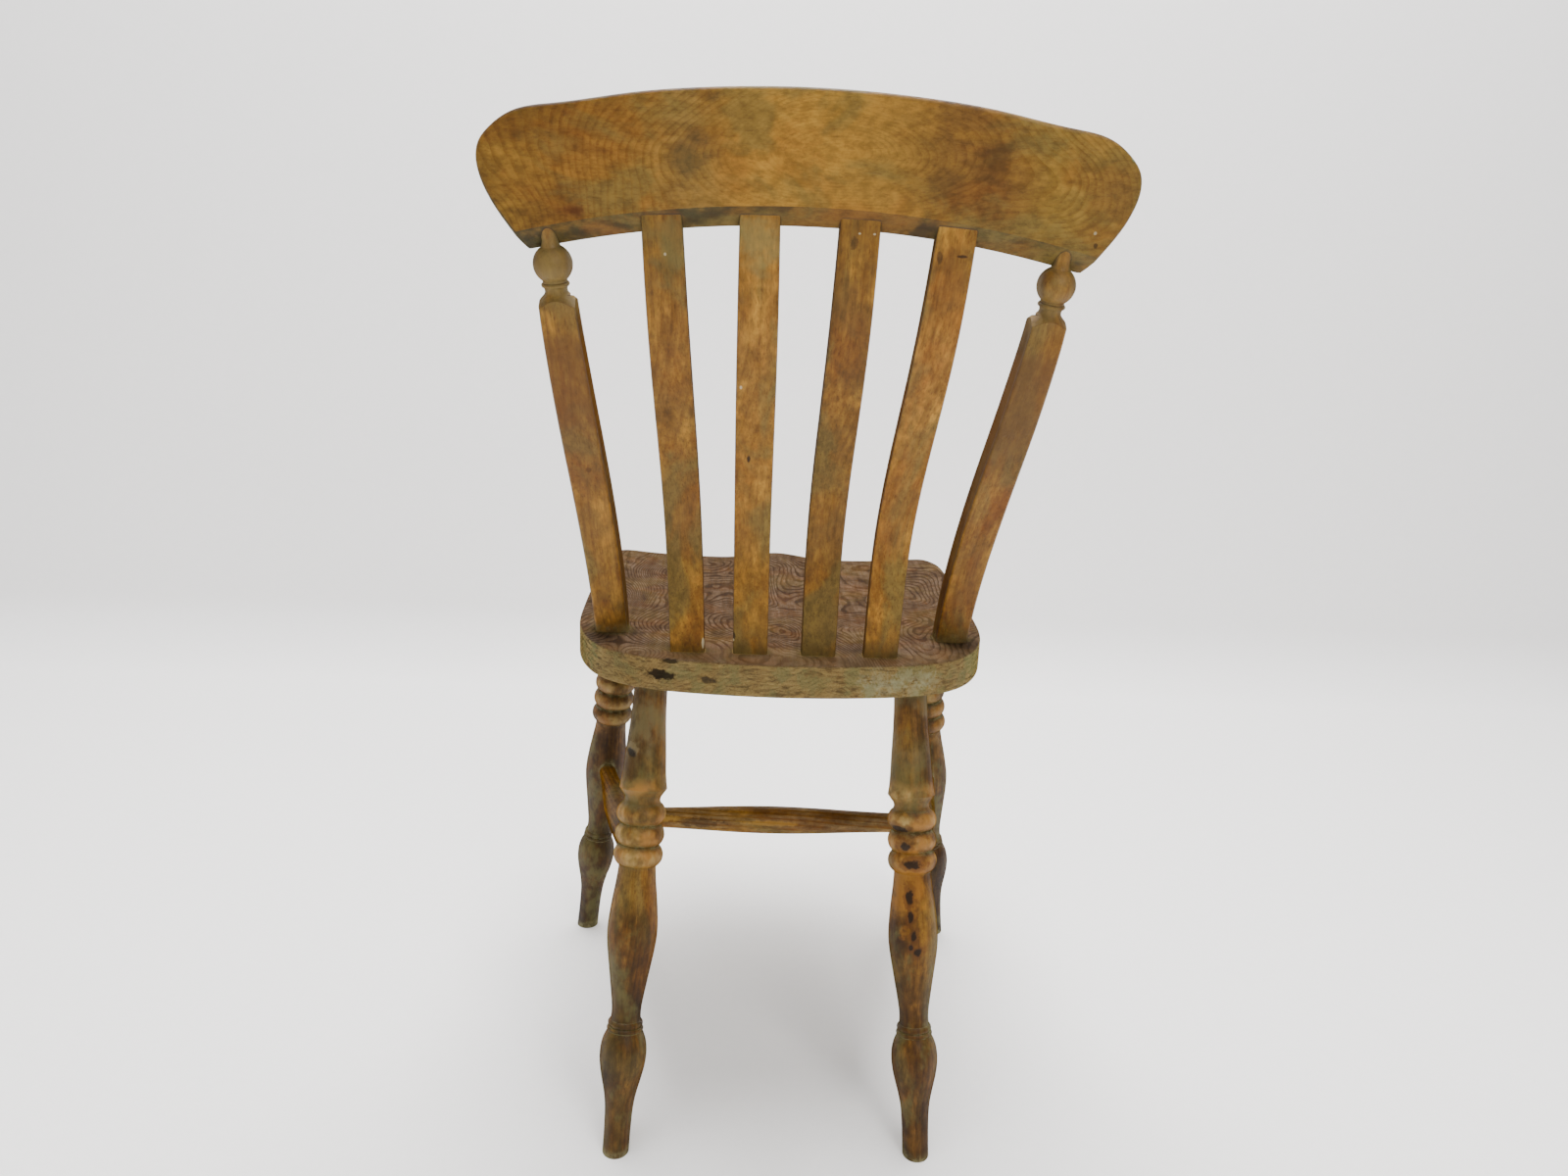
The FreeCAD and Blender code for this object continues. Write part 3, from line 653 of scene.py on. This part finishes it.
def crest_tones(shader, colour):
    """The long bands of stain along the crest, and painted shade on its down-facing lower bevel and on its
    up-facing upper edge.
    """
    low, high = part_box("crest_rail")
    wander = shader.noise(shader.stretched(shader.place, (1, 1, 0.5)), 11, 4, 0.6)
    share = shader.math("DIVIDE", shader.minus(shader.axes(shader.place)[0], low[0]), high[0] - low[0])
    share = shader.plus(share, shader.swing(wander, 0.14))
    bands = shader.ramp(share, [
        (0.02, (0.120, 0.088, 0.022)), (0.14, (0.190, 0.118, 0.020)), (0.21, (0.092, 0.042, 0.010)),
        (0.27, (0.110, 0.055, 0.012)), (0.35, (0.215, 0.118, 0.020)), (0.50, (0.345, 0.182, 0.026)),
        (0.60, (0.315, 0.160, 0.024)), (0.68, (0.145, 0.096, 0.026)), (0.75, (0.210, 0.105, 0.018)),
        (0.87, (0.125, 0.050, 0.008)), (0.97, (0.110, 0.062, 0.010))])
    colour = shader.mix(0.72, colour, bands)
    tilt = shader.axes(shader.normal())[2]
    # Painted shade: faces that look downwards, the lower bevel, are darkened almost to black, in patches of
    # green.
    bevel = shader.steps(tilt, -0.45, -0.18, 1.0, 0.0)
    painted_underside_shade = shader.mix(shader.steps(wander, 0.44, 0.56), (0.024, 0.016, 0.006), (0.028, 0.027, 0.010))
    colour = shader.mix(shader.times(bevel, 0.90), colour, painted_underside_shade)
    # Painted shade: faces that look upwards are darkened to a dark purple-brown.
    painted_top_shade = shader.steps(tilt, 0.28, 0.60)
    return shader.mix(shader.times(painted_top_shade, 0.80), colour, (0.038, 0.024, 0.018))


def dress_crest():
    low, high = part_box("crest_rail")
    centre = Vector((-0.021, high[1], low[2] + 0.66 * (high[2] - low[2])))
    # The crest's dark arris colour is painted shade, the same dark as its top.
    look = Look((BROWN, HONEY, GOLD), rings=0.55, line_start=0.50, streaks=0.12, mottle=0.25, olive=0.65,
                red=0.3, gold=0.30, pores=0.22, fibre=0.05, arris=0.75, arris_colour=(0.035, 0.022, 0.016),
                patch_length=0.6)
    mark = partial(rear_of, "crest_rail")
    marks = [
        mark(0.681, 0.610, (0.024, 0.03, 0.017), (0.050, 0.038, 0.015), strength=0.60, ragged=0.9, fineness=60,
             core=0.1),
        mark(0.650, 0.925, (0.010, 0.03, 0.006), GRIME_AND_SHADE, strength=0.45, ragged=0.8, core=0.1),
        mark(0.855, 0.235, (0.014, 0.03, 0.006), (0.060, 0.016, 0.004), strength=0.75, ragged=0.6, core=0.1),
        mark(0.231, 0.600, (0.016, 0.03, 0.030), DARK, strength=0.65, ragged=1.1, fineness=55, core=0.1),
        mark(0.300, 0.500, (0.018, 0.03, 0.016), (0.060, 0.032, 0.008), strength=0.55, ragged=1.0, fineness=60,
             core=0.1),
        mark(0.018, 0.700, (0.003, 0.03, 0.003), (0.12, 0.17, 0.08), strength=0.6),
        mark(0.063, 0.245, (0.0014, 0.03, 0.0014), (0.36, 0.33, 0.20), strength=0.6, ragged=0.6),
        mark(0.060, 0.170, (0.0018, 0.03, 0.0022), BLACK, strength=0.7),
    ]
    material = old_wood("wood_crest_rail", centre, (1, 0, 0), crest_figure(centre, 0.0070), look, 1.3, marks,
                        crest_tones)
    give("crest_rail", material, 0.0008)


def seat_tones(shader, colour):
    """Grey-green grain on the sawn edge and the underside, and a paler land along the back of the top."""
    _, depth, _ = shader.axes(shader.place)
    ragged = shader.noise(shader.place, 60, 4, 0.6)
    edge = shader.steps(shader.axes(shader.normal())[2], 0.25, 0.85, 1.0, 0.0)
    lines = shader.noise(shader.stretched(shader.place, (0.35, 0.35, 1.6)), 230, 4, 0.65, 0.8)
    sawn = shader.ramp(lines, [(0.38, (0.275, 0.190, 0.066)), (0.50, (0.190, 0.138, 0.050)),
                               (0.62, (0.066, 0.052, 0.020))])
    sawn = shader.mix(shader.steps(ragged, 0.46, 0.60, 0.0, 0.65), sawn, (0.135, 0.145, 0.055))
    colour = shader.darkened(colour, 0.60)
    colour = shader.mix(shader.times(edge, shader.steps(depth, -0.10, 0.08, 0.50, 0.90)), colour, sawn)
    land = shader.steps(depth, 0.105, 0.125, 0.0, 0.30)
    return shader.mix(land, colour, (0.135, 0.085, 0.036))


def seat_marks():
    """Black rot holes in the rear edge, and a row of pale bruises towards the sitter's right."""
    mark = partial(rear_of, "seat")
    marks = [
        mark(0.779, 0.52, (0.017, 0.03, 0.0050), BLACK, strength=0.92, ragged=1.1, fineness=150),
        mark(0.675, 0.45, (0.013, 0.03, 0.0055), (0.030, 0.021, 0.012), strength=0.85, ragged=1.0,
             fineness=150),
        mark(0.755, 0.93, (0.008, 0.03, 0.0024), BLACK, strength=0.8, ragged=0.8),
    ]
    for step in range(9):
        across = 0.165 + 0.020 * step
        up = 0.45 + 0.20 * math.sin(2.4 * step)
        marks.append(mark(across, up, (0.011, 0.04, 0.0095), (0.250, 0.235, 0.135), strength=0.34, ragged=1.3,
                          fineness=260, core=0.2))
    return marks


def dress_seat():
    tones = ((0.034, 0.021, 0.013), (0.088, 0.055, 0.032), (0.122, 0.080, 0.050))
    look = Look(tones, rings=0.42, line_start=0.50, mottle=0.10, olive=0.12, red=0.10, gold=0.0, pores=0.45,
                fibre=0.15, arris=0.6, arris_colour=(0.300, 0.170, 0.050), patch_length=1.0, roughness=0.55,
                shine=0.05)
    low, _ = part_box("seat")
    material = old_wood("wood_seat", low, (0, 1, 0), seat_figure(0.0050), look, 0.4, seat_marks(), seat_tones)
    give("seat", material, 0.0014)


# ---------------------------------------------------------------- room

def plain(name, colour, roughness):
    shader = Shader(name)
    speck = shader.noise(shader.place, 90, 3, 0.6)
    tint = shader.mix(shader.steps(speck, 0.3, 0.7, 0.0, 0.06), colour, tuple(0.8 * c for c in colour))
    shader.feed(shader.surface.inputs["Base Color"], tint)
    shader.surface.inputs["Roughness"].default_value = roughness
    return shader.material


def backdrop():
    """A pale floor that sweeps up into a plain wall behind the chair, well clear of it."""
    wall_y = -1.05
    wall_top = 9.0
    floor_end = 14.0
    half_width = 14.0
    sweep = 0.12
    sweep_steps = 8
    profile = [(floor_end, 0.0), (wall_y + sweep, 0.0)]
    for step in range(1, sweep_steps + 1):
        turn = 0.5 * math.pi * step / sweep_steps
        profile.append((wall_y + sweep - sweep * math.sin(turn), sweep - sweep * math.cos(turn)))
    profile.append((wall_y, wall_top))
    vertices = []
    faces = []
    for y, z in profile:
        vertices += [(-half_width, y, z), (half_width, y, z)]
    for step in range(len(profile) - 1):
        first = 2 * step
        faces.append((first, first + 1, first + 3, first + 2))
    mesh = bpy.data.meshes.new("backdrop")
    mesh.from_pydata(vertices, [], faces)
    for polygon in mesh.polygons:
        polygon.use_smooth = True
    sheet = bpy.data.objects.new("backdrop", mesh)
    bpy.context.scene.collection.objects.link(sheet)
    mesh.materials.append(plain("backdrop_paper", (0.92, 0.905, 0.895), 0.9))


def area_light(name, place, target, size, power, colour=(1, 1, 1)):
    lamp = bpy.data.lights.new(name, "AREA")
    lamp.shape = "DISK"
    lamp.size = size
    lamp.energy = power
    lamp.color = colour
    holder = bpy.data.objects.new(name, lamp)
    holder.location = place
    holder.rotation_euler = (Vector(target) - Vector(place)).to_track_quat("-Z", "Y").to_euler()
    bpy.context.scene.collection.objects.link(holder)


def lights():
    middle = (0, 0, 0.5)
    area_light("key", (-1.2, 2.5, 2.1), middle, 1.3, 46, (1.0, 0.985, 0.96))
    area_light("fill", (2.2, 1.8, 1.2), middle, 2.0, 12, (0.96, 0.98, 1.0))
    area_light("top", (0, 0.4, 3.0), middle, 2.4, 20)
    area_light("wall_wash", (0, -0.40, 3.2), (0, -1.3, 0.5), 2.0, 210)
    world = bpy.data.worlds.new("studio")
    world.use_nodes = True
    sky = world.node_tree.nodes["Background"]
    sky.inputs["Color"].default_value = (0.97, 0.98, 1.0, 1)
    sky.inputs["Strength"].default_value = 0.38
    bpy.context.scene.world = world


def camera():
    """The photograph's view: close behind the chair, a little below its crest, tipped down."""
    picture_width = 1600
    focal_pixels = 1201
    sensor_width = 36
    pitch = math.radians(15.78)
    roll = math.radians(2.55)
    yaw = math.radians(-2.59)
    distance = 1.0864
    height = 0.7708
    aside = -0.003
    turn = Matrix.Rotation(yaw, 3, "Z")
    place = turn @ Vector((aside, distance, 0)) + Vector((0, 0, height))
    forward = turn @ Vector((0, -math.cos(pitch), -math.sin(pitch)))
    right = turn @ Vector((-1, 0, 0))
    up = right.cross(forward)
    level = Matrix((right, up, -forward)).transposed()
    lens = bpy.data.cameras.new("camera")
    lens.sensor_width = sensor_width
    lens.lens = sensor_width * focal_pixels / picture_width
    lens.clip_start = 0.05
    holder = bpy.data.objects.new("camera", lens)
    holder.matrix_world = Matrix.Translation(place) @ (level @ Matrix.Rotation(roll, 3, "Z")).to_4x4()
    bpy.context.scene.collection.objects.link(holder)
    bpy.context.scene.camera = holder


dress_seat()
dress_legs()
dress_side_stretchers()
dress_cross_stretcher()
dress_laths()
dress_posts()
dress_crest()
backdrop()
lights()
camera()
